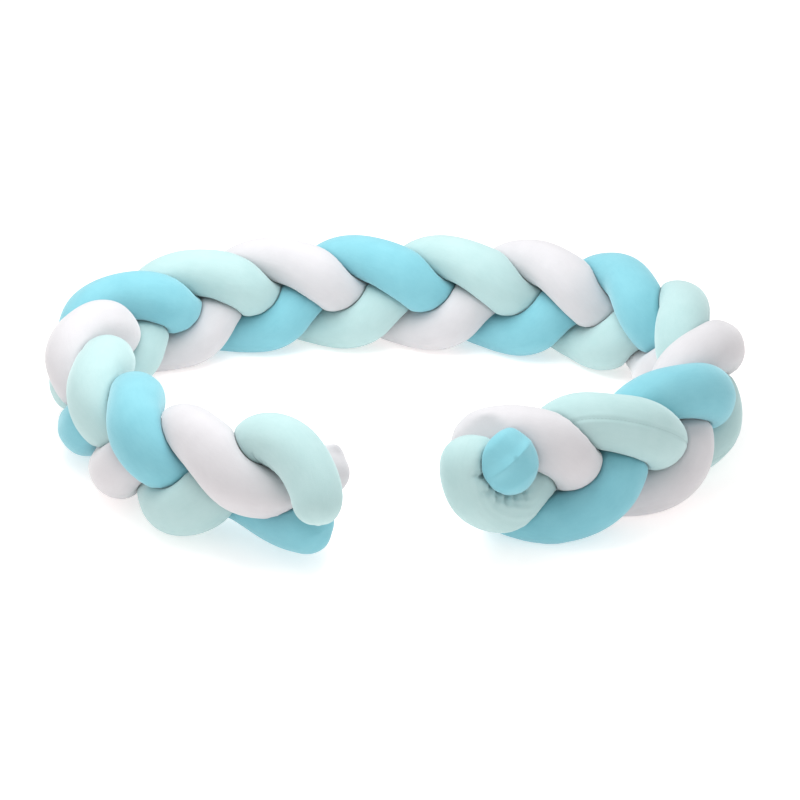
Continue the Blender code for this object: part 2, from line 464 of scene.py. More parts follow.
class Band:
    """The middle line that the whole plait follows, standing on edge."""

    def __init__(self, sizes: PlaitSizes = SIZES) -> None:
        """Lays the plan's curve and its smoothed directions.

        Args:
            sizes: The plait's sizes.
        """
        self.sizes = sizes
        self.line = through(rows(PLAN), sizes.line_step)
        self.along = distances(self.line)
        self.length = float(self.along[-1])
        self.ahead = unit(averaged(np.gradient(self.line, axis=0), self.along, 2 * sizes.radius))

    def drift(self, along: Array) -> tuple[Array, Array]:
        """How the plait leaves an even one.

        Args:
            along: Distances along the band.

        Returns:
            How far it runs ahead, and how much taller it swings.
        """
        values = rows(DRIFTS)
        stations = np.linspace(0.0, self.length, len(values))
        ahead, taller = looked_up(along, stations, values).T
        return ahead, taller

    def place(self, plait_rows: Array) -> Array:
        """World points of rows of along, outward and up.

        Args:
            plait_rows: Rows in the band's own terms.

        Returns:
            Points in the frame's metres.
        """
        along, outward, up = plait_rows.T
        inside = np.clip(along, 0.0, self.length)
        middle = looked_up(inside, self.along, self.line)
        ahead = unit(looked_up(inside, self.along, self.ahead))
        sideways = np.stack([-ahead[:, 1], ahead[:, 0]], axis=-1)
        flat = middle + ahead * (along - inside)[:, None] + sideways * outward[:, None]
        mid_height = self.sizes.rise + self.sizes.radius - self.sizes.sink
        return np.column_stack([flat - self.sizes.centre, mid_height + up])

    def even_plait(self, order: int, start: float, stop: float) -> Array:
        """One strand of the even plait between two places on the band.

        Args:
            order: The strand's place among the three.
            start: Where it begins along the band.
            stop: Where it ends.

        Returns:
            Rows of along, outward and up.
        """
        s = self.sizes
        along = np.linspace(start, stop, round((stop - start) / s.even_step) + 1)
        ahead, taller = self.drift(along)
        lobes = (along + ahead - s.first_lobe) / s.lobe - order
        turn = 2 * math.pi * lobes / len(Hue) + math.pi / 2
        rise = s.rise * (1 + taller)
        return np.column_stack([along, s.weave * np.sin(2 * turn), rise * (1 + np.sin(turn)) - s.rise])

    def strand_line(self, hue: Hue) -> Array:
        """A strand's middle line from its left to its right end.

        Args:
            hue: Which strand.

        Returns:
            Evenly spaced points.
        """
        left = rows(LEFT_ENDS[hue]) * (-1, 1, 1)
        right = rows(RIGHT_ENDS[hue])[::-1] + (self.length, 0, 0)
        join = self.sizes.join
        even = self.even_plait(list(Hue).index(hue), left[-1, 0] + join, right[0, 0] - join)
        laid = through(np.vstack([left, even, right]), self.sizes.line_step)
        return evenly(self.place(laid), self.sizes.line_step)


@dataclass
class Rings:
    """A tube of cloth as rings of points.

    Attributes:
        places: Distance of each ring along its strand.
        middles: The rings' middles.
        directions: Unit vectors from each middle to its points.
        points: The points themselves.
        bend: How strongly the tube bends towards each point, 1 where it folds on itself.
    """

    places: Array
    middles: Array
    directions: Array
    points: Array
    bend: Array

    def radii(self) -> Array:
        """How far each point is from its ring's middle."""
        return np.linalg.norm(self.points - self.middles[:, None], axis=2)

    def angles(self) -> Array:
        """The angle of each column of points round the tube."""
        count = self.points.shape[1]
        return 2 * math.pi * np.arange(count) / count

    def normals(self) -> Array:
        """Outward unit normals of the tube's skin.

        Returns:
            One normal for each point.
        """
        round_way = np.roll(self.points, -1, axis=1) - np.roll(self.points, 1, axis=1)
        long_way = np.gradient(self.points, axis=0)
        normals = unit(np.cross(round_way, long_way))
        outward = (normals * self.directions).sum(axis=2, keepdims=True)
        return normals * np.where(outward < 0, -1.0, 1.0)

    def finer(self) -> "Rings":
        """The same tube with twice the rings and twice the points a ring.

        Returns:
            The finer tube, which keeps the old points.
        """

        def halved(values: Array) -> Array:
            """Values with a new row between each two, on a smooth curve through them."""
            padded = np.concatenate([2 * values[:1] - values[1:2], values, 2 * values[-1:] - values[-2:-1]])
            middle = (9 * (padded[1:-2] + padded[2:-1]) - padded[:-3] - padded[3:]) / 16
            out = np.empty((2 * len(values) - 1,) + values.shape[1:])
            out[::2], out[1::2] = values, middle
            return out

        def rounded(values: Array) -> Array:
            """Values with a new column between each two, on a smooth closed curve."""
            before, after = np.roll(values, 1, axis=1), np.roll(values, -1, axis=1)
            middle = (9 * (values + after) - before - np.roll(values, -2, axis=1)) / 16
            out = np.empty((len(values), 2 * values.shape[1]) + values.shape[2:])
            out[:, ::2], out[:, 1::2] = values, middle
            return out

        return Rings(
            places=halved(self.places),
            middles=halved(self.middles),
            directions=unit(rounded(halved(self.directions))),
            points=rounded(halved(self.points)),
            bend=rounded(halved(self.bend)),
        )


@dataclass
class Plait:
    """The three strands together, which share the room between them.

    Attributes:
        sizes: The plait's sizes.
        ring_step: From one ring to the next.
        ring_sides: Points round a ring.
        cap_rings: Rings on each rounded end.
        far: Room that stands for no neighbour at all.
        rounds: How often a ring's girth is evened out.
        batch: How many points are measured at once.
        lines: The strands' middle lines.
    """

    sizes: PlaitSizes = SIZES
    ring_step: float = 0.007
    ring_sides: int = 48
    cap_rings: int = 9
    far: float = 1.0
    rounds: int = 5
    batch: int = 20000
    lines: dict[Hue, Array] = field(init=False)

    def __post_init__(self) -> None:
        """Lays the strands' middle lines."""
        band = Band(self.sizes)
        self.lines = {hue: band.strand_line(hue) for hue in Hue}

    def free_radii(self, hue: Hue, places: Array, length: float) -> Array:
        """Radius of a strand at its rings where nothing presses it.

        Args:
            hue: Which strand.
            places: Distances of its rings.
            length: The strand's length.

        Returns:
            One radius a ring.
        """
        s, own = self.sizes, FULLNESS[hue]
        left = 1 - eased(places, s.full_from, s.full_to)
        right = 1 - eased(length - places, s.full_from, s.full_to)
        return s.radius * (1 + (own.left - 1) * left + (own.right - 1) * right)

    def ring_places(self, length: float) -> Array:
        """Distances of the rings along a strand, close together on its rounded ends.

        Args:
            length: The strand's length.

        Returns:
            Rising distances from its left end.
        """
        radius = self.sizes.radius
        angles = np.linspace(0.0, math.pi / 2, self.cap_rings + 2)[1:-1]
        cap = radius * (1 - np.cos(angles))
        body = np.linspace(radius, length - radius, round(length / self.ring_step))
        return np.concatenate([cap, body, length - cap[::-1]])

    def directions(self, line: Array, places: Array) -> tuple[Array, Array]:
        """Unit vectors from each ring's middle to its points, with the least twist.

        Args:
            line: The strand's middle line.
            places: The rings' distances along it.

        Returns:
            The vectors, and how strongly the tube bends towards each.
        """
        along = distances(line)
        ahead = unit(averaged(np.gradient(line, axis=0), along, 2 * self.sizes.radius))
        curving = np.gradient(ahead, along, axis=0)
        ahead = unit(looked_up(places, along, ahead))
        curving = looked_up(places, along, curving)
        across = np.empty_like(ahead)
        last = np.eye(3)[np.argmin(np.abs(ahead[0]))]
        for i, forward in enumerate(ahead):
            last = unit(last - forward * (last @ forward))
            across[i] = last
        angles = 2 * math.pi * np.arange(self.ring_sides) / self.ring_sides
        beside = np.cross(ahead, across)
        cos, sin = np.cos(angles)[None, :, None], np.sin(angles)[None, :, None]
        spread = cos * across[:, None] + sin * beside[:, None]
        return spread, (spread * curving[:, None]).sum(axis=2) * self.sizes.radius

    def room(self, hue: Hue, places: Array, middles: Array, spread: Array) -> Array:
        """How far each point can go before it is nearer to another strand.

        Args:
            hue: The strand itself.
            places: Distances of its rings.
            middles: Middles of its rings.
            spread: Directions of its points.

        Returns:
            The room in each direction.
        """
        along = distances(self.lines[hue])
        room = np.full(spread.shape[:2], self.far)
        for other, line in self.lines.items():
            for i, middle in enumerate(middles):
                apart = line - middle
                square = (apart**2).sum(axis=1)
                near = square < (4 * self.sizes.radius) ** 2
                if other is hue:
                    near &= np.abs(along - places[i]) > self.sizes.own_reach
                if not near.any():
                    continue
                facing = spread[i] @ apart[near].T
                reach = (square[near] - self.sizes.seam_gap * np.sqrt(square[near]))[None]
                least = np.divide(reach, 2 * facing, out=np.full_like(facing, self.far),
                                  where=facing > 0.5 * reach / self.far)
                room[i] = np.minimum(room[i], least.min(axis=1))
        return room

    @staticmethod
    def soft_least(a: Array, b: Array, width: Array | float) -> Array:
        """The smaller of two sizes, with a rounded change from one to the other.

        Args:
            a: One size.
            b: The other.
            width: Over how much of their difference the change is spread.

        Returns:
            The rounded least.
        """
        share = np.clip(0.5 + 0.5 * (b - a) / width, 0.0, 1.0)
        return b * (1 - share) + a * share - width * share * (1 - share)

    @staticmethod
    def girth(radii: Array) -> Array:
        """Length round each ring.

        Args:
            radii: How far each of its points is from its middle.

        Returns:
            One length a ring.
        """
        turn = 2 * math.pi / radii.shape[1]
        after = np.roll(radii, -1, axis=1)
        return np.sqrt(radii**2 + after**2 - 2 * radii * after * math.cos(turn)).sum(axis=1)

    def rings(self, hue: Hue, slack: float = 0.0) -> Rings:
        """A strand's tube, pressed by its neighbours and by the floor.

        Args:
            hue: Which strand.
            slack: How much thinner than full the tube starts.

        Returns:
            Its rings.
        """
        s = self.sizes
        line = self.lines[hue]
        length = float(distances(line)[-1])
        places = self.ring_places(length)
        middles = at_places(line, places)
        spread, bend = self.directions(line, places)
        room = self.room(hue, places, middles, spread)
        even = self.free_radii(hue, places, length)
        free = even.copy()
        for _ in range(self.rounds):
            radii = self.soft_least(room, free[:, None], s.soft_edge)
            free = np.clip(free * 2 * math.pi * even / self.girth(radii), even, s.swell * even)
        free = averaged(free, places, s.swell_reach) - slack
        to_end = np.minimum(places, length - places) / even
        free *= np.sqrt(1 - (1 - np.minimum(to_end, 1.0)) ** 2)
        width = np.minimum(s.soft_edge, 0.5 * free)[:, None]
        radii = self.soft_least(room, free[:, None], width)
        down = np.maximum(-spread[..., 2], middles[:, 2:] / self.far)
        radii = np.minimum(radii, middles[:, 2:] / down)
        return Rings(places, middles, spread, middles[:, None] + radii[..., None] * spread, bend)

    def nearest(self, points: Array, hue: Hue) -> Array:
        """Distance from each point to the nearest point of a strand's line.

        Args:
            points: Points of any shape of array.
            hue: The strand.

        Returns:
            One distance a point.
        """
        flat, line = points.reshape(-1, 3), self.lines[hue]
        out = np.empty(len(flat))
        for start in range(0, len(flat), self.batch):
            part = flat[start : start + self.batch]
            square = (part**2).sum(axis=1)[:, None] + (line**2).sum(axis=1)[None] - 2 * part @ line.T
            out[start : start + self.batch] = np.sqrt(np.maximum(square.min(axis=1), 0.0))
        return out.reshape(points.shape[:-1])

    def clearance(self, points: Array, hue: Hue) -> Array:
        """How far points of a strand's skin are from the middle between it and its neighbours.

        Args:
            points: Points of the skin.
            hue: The strand that they belong to.

        Returns:
            Distances, below 0 for a point that trespasses.
        """
        others = [self.nearest(points, other) for other in Hue if other is not hue]
        return 0.5 * (np.minimum.reduce(others) - self.nearest(points, hue) - self.sizes.seam_gap)

    def kept_apart(self, rings: Rings, hue: Hue) -> Rings:
        """The tube with points that trespass on a neighbour or the floor drawn back.

        Args:
            rings: The tube.
            hue: Its strand.

        Returns:
            The same tube, changed in place.
        """
        for _ in range(2):
            excess = np.maximum(-self.clearance(rings.points, hue), 0.0)
            rings.points += unit(rings.middles[:, None] - rings.points) * excess[..., None]
        rings.points[..., 2] = np.maximum(rings.points[..., 2], 0.0)
        return rings


def placed(name: str, data: Any) -> bpy.types.Object:
    """Puts data in the scene as an object at the origin.

    Args:
        name: The object's name.
        data: A mesh, camera or light.

    Returns:
        The object.
    """
    thing = bpy.data.objects.new(name, data)
    bpy.context.scene.collection.objects.link(thing)
    return thing


class Sock:
    """A shader socket that takes part in sums: its operators add Math nodes."""

    def __init__(self, shader: "Shader", socket: bpy.types.NodeSocket) -> None:
        """Remembers the socket and the shader that it is in."""
        self.shader, self.socket = shader, socket

    def _math(self, operation: str, *values: Any) -> "Sock":
        """A Math node of these values."""
        made = self.shader.node("ShaderNodeMath", {"operation": operation}, dict(enumerate(values)))
        return self.shader.out(made, 0)

    def __add__(self, other: Any) -> "Sock":
        """Sum."""
        return self._math("ADD", self, other)

    __radd__ = __add__

    def __sub__(self, other: Any) -> "Sock":
        """Difference."""
        return self._math("SUBTRACT", self, other)

    def __rsub__(self, other: Any) -> "Sock":
        """Difference the other way round."""
        return self._math("SUBTRACT", other, self)

    def __mul__(self, other: Any) -> "Sock":
        """Product."""
        return self._math("MULTIPLY", self, other)

    __rmul__ = __mul__

    def clipped(self) -> "Sock":
        """The value kept from 0 to 1."""
        return self._math("MAXIMUM", self._math("MINIMUM", self, 1.0), 0.0)


class Shader:
    """A material and the nodes in it."""

    def __init__(self, name: str) -> None:
        """Makes the material, with its surface shader ready.

        Args:
            name: The material's name.
        """
        self.material = bpy.data.materials.new(name)
        self.material.use_nodes = True
        self.nodes = self.material.node_tree.nodes
        self.links = self.material.node_tree.links
        self.surface = next(n for n in self.nodes if n.type == "BSDF_PRINCIPLED")

    def put(self, socket: bpy.types.NodeSocket, value: Any) -> None:
        """Links or sets a socket.

        Args:
            socket: What is fed.
            value: A Sock, a number, or a tuple.
        """
        if isinstance(value, Sock):
            self.links.new(value.socket, socket)
        else:
            socket.default_value = value

    def node(self, kind: str, settings: dict[str, Any] | None = None,
             inputs: dict[Any, Any] | None = None) -> bpy.types.Node:
        """Adds a node.

        Args:
            kind: The node's type.
            settings: Its properties, set first.
            inputs: Values or Socks of its sockets, by name or number.

        Returns:
            The node.
        """
        made = self.nodes.new(kind)
        for name, value in (settings or {}).items():
            setattr(made, name, value)
        for name, value in (inputs or {}).items():
            self.put(made.inputs[name], value)
        return made

    def out(self, node: bpy.types.Node, name: Any) -> Sock:
        """An output of a node, by name or number, ready for sums."""
        return Sock(self, node.outputs[name])

    def dress(self, inputs: dict[str, Any]) -> bpy.types.Material:
        """Feeds the surface.

        Args:
            inputs: Values or Socks, by the names of its sockets.

        Returns:
            The finished material.
        """
        for name, value in inputs.items():
            self.put(self.surface.inputs[name], value)
        return self.material

    def noise(self, place: Sock, scale: float, detail: float = 2.0, rough: float = 0.5) -> Sock:
        """Noise over a place.

        Args:
            place: Where it is read.
            scale: Waves a metre.
            detail: Octaves.
            rough: How strong the finer ones are.

        Returns:
            Values about 0.5.
        """
        made = self.node("ShaderNodeTexNoise", {"noise_dimensions": "3D"},
                         {"Vector": place, "Scale": scale, "Detail": detail, "Roughness": rough})
        return self.out(made, 0)

    def mix(self, share: Any, first: Any, second: Any) -> Sock:
        """A colour between two.

        Args:
            share: 0 for the first, 1 for the second.
            first: A colour or Sock.
            second: A colour or Sock.

        Returns:
            The mixed colour.
        """
        made = self.node("ShaderNodeMix", {"data_type": "RGBA"}, {0: share, 6: first, 7: second})
        return self.out(made, 2)


@dataclass(frozen=True)
class PileFinish:
    """Short-pile cloth: a soft dense nap that lies over a fine knit.

    Attributes:
        name: The material's name.
        colour: The nap brushed flat, in linear light.
        deep: The same where the nap stands open and shows its depth.
        sheen_tint: Colour of the light that the nap's tips catch.
        sheen: How strong that is.
        sheen_spread: How far from the edge it reaches.
        gloss: How strongly it mirrors, where 0.5 is plain.
        nap: Waves a metre of the nap's tufts.
        stroke: Waves a metre of the strokes that lie along the strand.
        stretch: Width of a stroke against its length.
        brush: Waves a metre of the patches that a hand leaves in it.
        cloud: Waves a metre of its broad unevenness.
        open_nap: Share of open nap where nothing stirs it.
        rough: Least roughness.
        rough_spread: How much more the strokes add.
        relief: Height of the nap in the bump.
        relief_share: How strong the bump is.
    """

    name: str
    colour: tuple[float, float, float]
    deep: tuple[float, float, float]
    sheen_tint: tuple[float, float, float]
    sheen: float = 0.6
    sheen_spread: float = 0.4
    gloss: float = 0.25
    nap: float = 1100.0
    stroke: float = 260.0
    stretch: float = 0.35
    brush: float = 38.0
    cloud: float = 9.0
    open_nap: float = 0.18
    rough: float = 0.86
    rough_spread: float = 0.12
    relief: float = 0.0012
    relief_share: float = 0.35

    def material(self) -> bpy.types.Material:
        """Builds the cloth.

        Returns:
            The material.
        """
        shader = Shader(self.name)
        place = shader.out(shader.node("ShaderNodeTexCoord"), "Object")
        along = shader.out(shader.node("ShaderNodeUVMap", {"uv_map": "cloth"}), "UV")
        stretched = shader.out(
            shader.node("ShaderNodeMapping", {}, {"Vector": along, "Scale": (self.stretch, 1.0, 1.0)}), 0)
        tufts = shader.noise(place, self.nap, 3.0, 0.6)
        strokes = shader.noise(stretched, self.stroke, 3.0, 0.6)
        patches = shader.noise(place, self.brush, 3.0, 0.55)
        clouds = shader.noise(place, self.cloud, 2.0, 0.5)
        depth = (self.open_nap + 0.5 * (tufts - 0.5) + 0.45 * (strokes - 0.5) + 0.9 * (patches - 0.5)
                 + 0.6 * (clouds - 0.5)).clipped()
        height = 0.6 * tufts + 0.4 * strokes + 0.5 * patches
        bump = shader.node("ShaderNodeBump", {}, {
            "Strength": self.relief_share, "Distance": self.relief, "Height": height})
        return shader.dress({
            "Base Color": shader.mix(depth, (*self.colour, 1.0), (*self.deep, 1.0)),
            "Roughness": (self.rough + self.rough_spread * strokes).clipped(),
            "Normal": shader.out(bump, 0),
            "Sheen Weight": self.sheen,
            "Sheen Roughness": self.sheen_spread,
            "Sheen Tint": (*self.sheen_tint, 1.0),
            "Specular IOR Level": self.gloss,
        })


@dataclass(frozen=True)
class ThreadFinish:
    """Sewing thread in a cover's own colour, with painted shade in the hollows of its twist.

    Attributes:
        name: The material's name.
        colour: The thread, in linear light.
        shade: Painted shade of its twist's hollows: how dark they are painted against that.
        twist: Waves a metre of the twist.
    """

    name: str
    colour: tuple[float, float, float]
    shade: float = 0.72
    twist: float = 1500.0

    def material(self) -> bpy.types.Material:
        """Builds the thread.

        Returns:
            The material.
        """
        shader = Shader(self.name)
        place = shader.out(shader.node("ShaderNodeTexCoord"), "Object")
        twist = shader.noise(place, self.twist, 2.0, 0.5)
        # Painted shade: the thread's own colour darkened where the twist's hollows would lie, in random
        # noise patches.
        painted_hollow_shade = tuple(self.shade * c for c in self.colour)
        return shader.dress({
            "Base Color": shader.mix((0.2 + 0.6 * twist).clipped(), (*self.colour, 1.0), (*painted_hollow_shade, 1.0)),
            "Roughness": (0.5 + 0.2 * twist).clipped(),
        })


FINISHES = {
    Hue.MINT: PileFinish("mint_pile", (0.43, 0.60, 0.60), (0.36, 0.54, 0.54), (0.85, 1.0, 1.0)),
    Hue.WHITE: PileFinish("white_pile", (0.60, 0.59, 0.61), (0.54, 0.53, 0.55), (1.0, 1.0, 1.0)),
    Hue.TURQUOISE: PileFinish(
        "turquoise_pile", (0.215, 0.51, 0.585), (0.165, 0.435, 0.515), (0.7, 0.95, 1.0)),
}

THREADS = {
    Hue.MINT: ThreadFinish("mint_thread", (0.39, 0.57, 0.57)),
    Hue.WHITE: ThreadFinish("white_thread", (0.57, 0.56, 0.58)),
    Hue.TURQUOISE: ThreadFinish("turquoise_thread", (0.15, 0.43, 0.52)),
}


@dataclass(frozen=True)
class Filling:
    """Loose fibre that blows a cover out, worked out as cloth under pressure.

    Attributes:
        pressure: How hard it pushes.
        frames: Steps of the simulation.
        cap: How far a point of the cover may move.
        slack: How much thinner than full the cover starts.
        pinned: Clearance under which a neighbour holds the cover still.
        quality: Sub-steps of each step.
        weight: Of each point of the cover.
        stretch: How hard the cloth is to stretch or squash.
        shear: How hard it is to skew.
        stiffness: How hard it is to bend.
    """

    pressure: float = 2000.0
    frames: int = 10
    cap: float = 0.005
    slack: float = 0.0015
    pinned: float = 0.0012
    quality: int = 3
    weight: float = 0.02
    stretch: float = 12.0
    shear: float = 4.0
    stiffness: float = 0.4

    def swollen(self, rings: Rings, clear: Array) -> Array:
        """Blows a cover out.

        Args:
            rings: The cover as it starts.
            clear: How far each of its points is from the neighbours.

        Returns:
            Its points after the filling has pushed them out.
        """
        count, sides = rings.points.shape[:2]
        thing = placed("filling", tube_mesh("filling", rings))
        held = np.clip(1.0 - clear / self.pinned, 0.0, 1.0)
        held[rings.points[..., 2] < self.pinned] = 1.0
        group = thing.vertex_groups.new(name="held")
        for level in (0.5, 1.0):
            chosen = np.flatnonzero(held.ravel() > level - 0.5)
            group.add([int(i) for i in chosen], level, "REPLACE")
        cloth = thing.modifiers.new("filling", "CLOTH")
        settings = cloth.settings
        settings.quality = self.quality
        settings.mass = self.weight
        settings.use_pressure = True
        settings.uniform_pressure_force = self.pressure
        settings.effector_weights.gravity = 0.0
        settings.tension_stiffness = settings.compression_stiffness = self.stretch
        settings.shear_stiffness = self.shear
        settings.bending_stiffness = self.stiffness
        settings.vertex_group_mass = "held"
        cloth.collision_settings.use_collision = False
        cloth.point_cache.frame_start, cloth.point_cache.frame_end = 1, self.frames
        scene = bpy.context.scene
        for step in range(1, self.frames + 1):
            scene.frame_set(step)
        shown = thing.evaluated_get(bpy.context.evaluated_depsgraph_get())
        flat = np.empty(3 * len(shown.data.vertices), np.float32)
        shown.data.vertices.foreach_get("co", flat)
        after = flat.reshape(-1, 3)[: count * sides].reshape(count, sides, 3).astype(float)
        bpy.data.objects.remove(thing, do_unlink=True)
        scene.frame_set(1)
        moved = after - rings.points
        size = np.linalg.norm(moved, axis=2, keepdims=True)
        return rings.points + moved * np.minimum(1.0, self.cap / np.maximum(size, 1e-9))


def tube_mesh(name: str, rings: Rings) -> bpy.types.Mesh:
    """A closed mesh over rings, with a point on each end and a map that follows the cloth.

    Args:
        name: The mesh's name.
        rings: The tube.

    Returns:
        The mesh, with its faces outwards.
    """
    count, sides = rings.points.shape[:2]
    tips = []
    for end, inner in ((0, 1), (-1, -2)):
        middle = rings.points[end].mean(axis=0)
        outwards = unit(middle - rings.points[inner].mean(axis=0))
        tips.append(middle + outwards * ((rings.points[end] - middle) @ outwards).max())
    points = np.vstack([rings.points.reshape(-1, 3), *[tip[None] for tip in tips]])
    ring = np.arange(count - 1)[:, None] * sides
    side = np.arange(sides)[None]
    after = (side + 1) % sides
    walls = np.stack([ring + side, ring + after, ring + sides + after, ring + sides + side], axis=-1)
    quads = walls.reshape(-1, 4)
    first, last = count * sides, count * sides + 1
    top = (count - 1) * sides
    fans = [(first, int(after[0, i]), i) for i in range(sides)]
    fans += [(last, top + i, top + int(after[0, i])) for i in range(sides)]
    mesh = bpy.data.meshes.new(name)
    mesh.from_pydata([tuple(p) for p in points], [], [tuple(q) for q in quads.tolist()] + fans)
    around = SIZES.cloth_width / sides
    layer = mesh.uv_layers.new(name="cloth")
    cols, ring_of = np.meshgrid(np.arange(sides), np.arange(count - 1))
    u = np.stack([rings.places[ring_of + i] for i in (0, 0, 1, 1)], axis=-1)
    v = np.stack([(cols + i) * around for i in (0, 1, 1, 0)], axis=-1)
    walls_uv = np.stack([u, v], axis=-1).reshape(-1, 2)
    i = np.arange(sides)
    caps = []
    for place, order in ((rings.places[0], (0.5, 1, 0)), (rings.places[-1], (0.5, 0, 1))):
        fan_v = np.stack([(i + o) * around for o in order], axis=-1)
        caps.append(np.stack([np.full((sides, 3), place), fan_v], axis=-1))
    uv = np.vstack([walls_uv, *[c.reshape(-1, 2) for c in caps]])
    layer.data.foreach_set("uv", uv.astype(np.float32).ravel())
    mesh.shade_smooth()
    mesh.update()
    return mesh


@dataclass
class Strand:
    """One filled tube of the plait.

    Attributes:
        hue: Which one.
        plait: The plait that it is part of.
        filling: What blows its cover out.
        seam_depth: How deep the lengthwise seam pulls in.
        seam_width: How far to each side of it.
        lip: How far the cloth stands up beside the seam.
        lump: Height of the filling's soft lumps.
        ripple: Height of the lengthwise ripples at a bend's inner side.
        notch: Depth of the notches in a bunch.
        crevice: How far the cloth shrinks back from the neighbour in a bunch.
        bunch_reach: How far from the neighbour a bunch has ripples.
        fold_width: How far from an end seam the end falls away.
        lump_length: Length of the broad lumps.
        small_lump: Length of the small ones.
        ripple_gap: From one ripple to the next, round the tube.
        fold_from: In radii from the tip, up to where an end is fully drawn flat.
        fold_to: In radii, where that fades out.
        corner_at: In radii, where an end seam's corners stand.
        corner_length: In radii, their half length along the strand.
        corner_width: In radii, their half width across it.
        end_plain: In radii from the tip, where the lengthwise seam begins and is at its full depth.
        bunch_edge: Share of a bunch over which it fades in and out.
        bunch_facing: Cosines from its side, where it fades out and where it is whole.
        notch_sharp: Power that makes the notches narrow.
    """

    hue: Hue
    plait: Plait
    filling: Filling = Filling()
    seam_depth: float = 0.0010
    seam_width: float = 0.0018
    lip: float = 0.0005
    lump: float = 0.0011
    ripple: float = 0.0005
    notch: float = 0.0056
    crevice: float = 0.0018
    bunch_reach: float = 0.030
    fold_width: float = 0.028
    lump_length: float = 0.07
    small_lump: float = 0.03
    ripple_gap: float = 0.008
    fold_from: float = 0.3
    fold_to: float = 0.95
    corner_at: float = 0.45
    corner_length: float = 0.25
    corner_width: float = 0.2
    end_plain: tuple[float, float] = (0.5, 1.2)
    bunch_edge: float = 0.15
    bunch_facing: tuple[float, float] = (0.6, 0.92)
    notch_sharp: int = 10

    def seam_turns(self, places: Array) -> Array:
        """Where round the tube the lengthwise seam lies.

        Args:
            places: Distances along the strand.

        Returns:
            Angles in radians.
        """
        seam = SEAMS[self.hue]
        turned = eased(places, seam.turns_from, seam.turns_to)
        return np.radians(seam.start + (seam.stop - seam.start) * turned)

    def seam(self, rings: Rings) -> Array:
        """How the lengthwise seam draws the cloth in, between two slight lips.

        Args:
            rings: The cover.

        Returns:
            Heights in metres, below 0 inwards.
        """
        turn = rings.angles()[None] - self.seam_turns(rings.places)[:, None]
        off = rings.radii() * np.abs((turn + math.pi) % (2 * math.pi) - math.pi) / self.seam_width
        to_end = np.minimum(rings.places, rings.places[-1] - rings.places)[:, None]
        height = self.lip * np.exp(-((off - 2.0) ** 2)) - self.seam_depth * np.exp(-(off**2))
        begins, full = (share * self.plait.sizes.radius for share in self.end_plain)
        return height * eased(to_end, begins, full)

    def closures(self, rings: Rings) -> Array:
        """How ends that are sewn shut flat leave round ones: a ridge, with a corner at each side.

        Args:
            rings: The cover.

        Returns:
            Heights in metres, below 0 inwards.
        """
        seams, radius = SEAMS[self.hue], self.plait.sizes.radius
        height = np.zeros(rings.points.shape[:2])
        from_right = rings.places[-1] - rings.places
        for to_end, end in ((rings.places, seams.left_end), (from_right, seams.right_end)):
            off = rings.radii() * np.abs(np.sin(rings.angles() - math.radians(end.turn)))[None]
            share = np.clip(off / self.fold_width, 0.0, 1.0)
            near = 1 - eased(to_end, self.fold_from * radius, self.fold_to * radius)
            height -= near[:, None] * end.fold * 4 * share * (1 - share)
            bump = np.exp(-(((to_end - self.corner_at * radius) / (self.corner_length * radius)) ** 2))
            height += end.corner * bump[:, None] * np.exp(-((off / (self.corner_width * radius)) ** 2))
        return height

    def lumps(self, rings: Rings) -> Array:
        """Soft lumps of the filling.

        Args:
            rings: The cover.

        Returns:
            Heights in metres, below 0 inwards.
        """
        grain = Grain(11 + 7 * list(Hue).index(self.hue))
        along = rings.places[:, None]
        wide = np.minimum(rings.radii() / self.plait.sizes.radius, 1.0)
        cos, sin = wide * np.cos(rings.angles())[None], wide * np.sin(rings.angles())[None]
        broad = grain.at(along / self.lump_length + 2.0 * cos, 40.0 + 1.6 * sin)
        small = grain.at(along / self.small_lump + cos, 90.0 + 2.5 * sin)
        return self.lump * (broad + 0.5 * small)

    def ripples(self, rings: Rings, clear: Array) -> Array:
        """Lengthwise ripples at the inner sides of bends and in bunches.

        Args:
            rings: The cover.
            clear: How far its points are from the neighbours.

        Returns:
            Heights in metres, below 0 inwards.
        """
        grain = Grain(61 + list(Hue).index(self.hue))
        along = rings.places[:, None]
        cos, sin = np.cos(rings.angles())[None], np.sin(rings.angles())[None]
        around = rings.angles()[None] * self.plait.sizes.radius / self.ripple_gap
        waves = np.sin(2 * math.pi * (around + 0.8 * grain.at(along / 0.05 + cos, 150.0 + sin)))
        patch = eased(grain.at(along / 0.045 + cos, 200.0 + 1.2 * sin), -0.1, 0.7)
        strength = patch * eased(rings.bend, 0.1, 0.5)
        for bunch in BUNCHES[self.hue]:
            near = 1 - eased(clear, 0.008, self.bunch_reach)
            strength = np.maximum(strength, bunch.rippled * self.inside(bunch, rings) * near)
        return self.ripple * waves * strength

    def inside(self, bunch: Bunch, rings: Rings) -> Array:
        """How much each point belongs to a bunch, from 0 to 1.

        Args:
            bunch: The bunch.
            rings: The cover.

        Returns:
            One share a point.
        """
        edge = self.bunch_edge * (bunch.stop - bunch.start)
        begun = eased(rings.places, bunch.start, bunch.start + edge)
        over = eased(rings.places, bunch.stop - edge, bunch.stop)
        facing = eased(np.cos(rings.angles() - math.radians(bunch.turn)), *self.bunch_facing)
        return (begun * (1 - over))[:, None] * facing[None]

